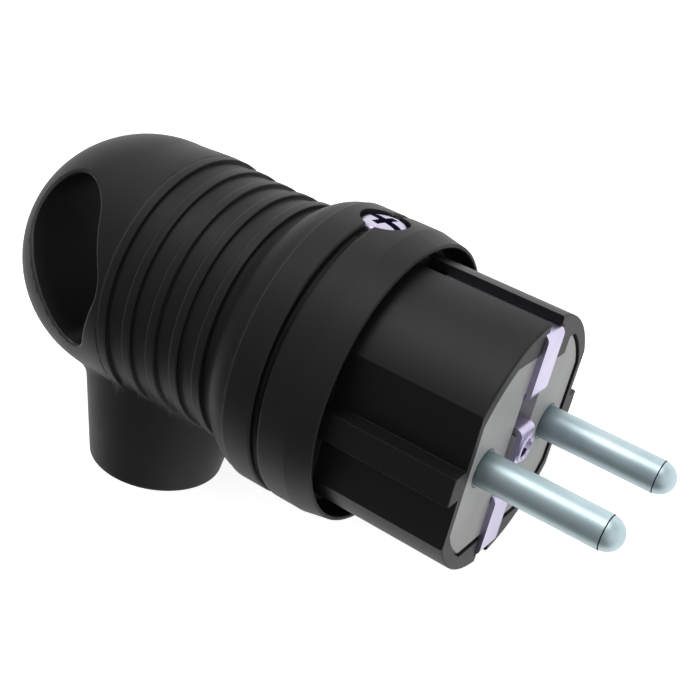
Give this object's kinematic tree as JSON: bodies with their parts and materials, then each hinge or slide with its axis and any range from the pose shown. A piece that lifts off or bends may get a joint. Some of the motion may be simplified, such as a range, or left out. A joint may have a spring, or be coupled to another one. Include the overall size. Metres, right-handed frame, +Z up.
{
  "type": "angled earthed power plug",
  "caption": "Black rubber earthed plug with round pins, side earth contacts, angled cable outlet and a finger ring to pull it by",
  "frame": {"origin": "centre of the footprint, on the surface that the plug lies on, with the pins pointing along +X", "axes": "+X the way the pins point, +Z up"},
  "size_m": [0.102, 0.0544, 0.0427],
  "materials": {
    "black_rubber": "matte",
    "black_thermoplastic": "satin",
    "grey_thermoplastic": "satin",
    "nickel_plated_brass": "satin",
    "tinned_strip": "satin",
    "zinc_plated_steel": "satin",
    "brass": "satin"
  },
  "bodies": {
    "root": {"grip_cover": "black_rubber", "sealing_collar": "black_rubber", "front_shell": "black_thermoplastic", "face_insert": "grey_thermoplastic", "pin_left": "nickel_plated_brass", "pin_right": "nickel_plated_brass", "pin_screw_left": "zinc_plated_steel", "pin_screw_right": "zinc_plated_steel", "earth_clip": "tinned_strip", "earth_rivet": "tinned_strip", "earth_terminal": "brass", "earth_screw": "zinc_plated_steel", "terminal_carrier": "black_thermoplastic", "carrier_screw_upper": "zinc_plated_steel", "carrier_screw_lower": "zinc_plated_steel", "cord_clamp_bar": "grey_thermoplastic", "cord_clamp_screw_left": "zinc_plated_steel", "cord_clamp_screw_right": "zinc_plated_steel", "cover_screw": "zinc_plated_steel", "cover_nut": "brass"}
  },
  "joints": []
}
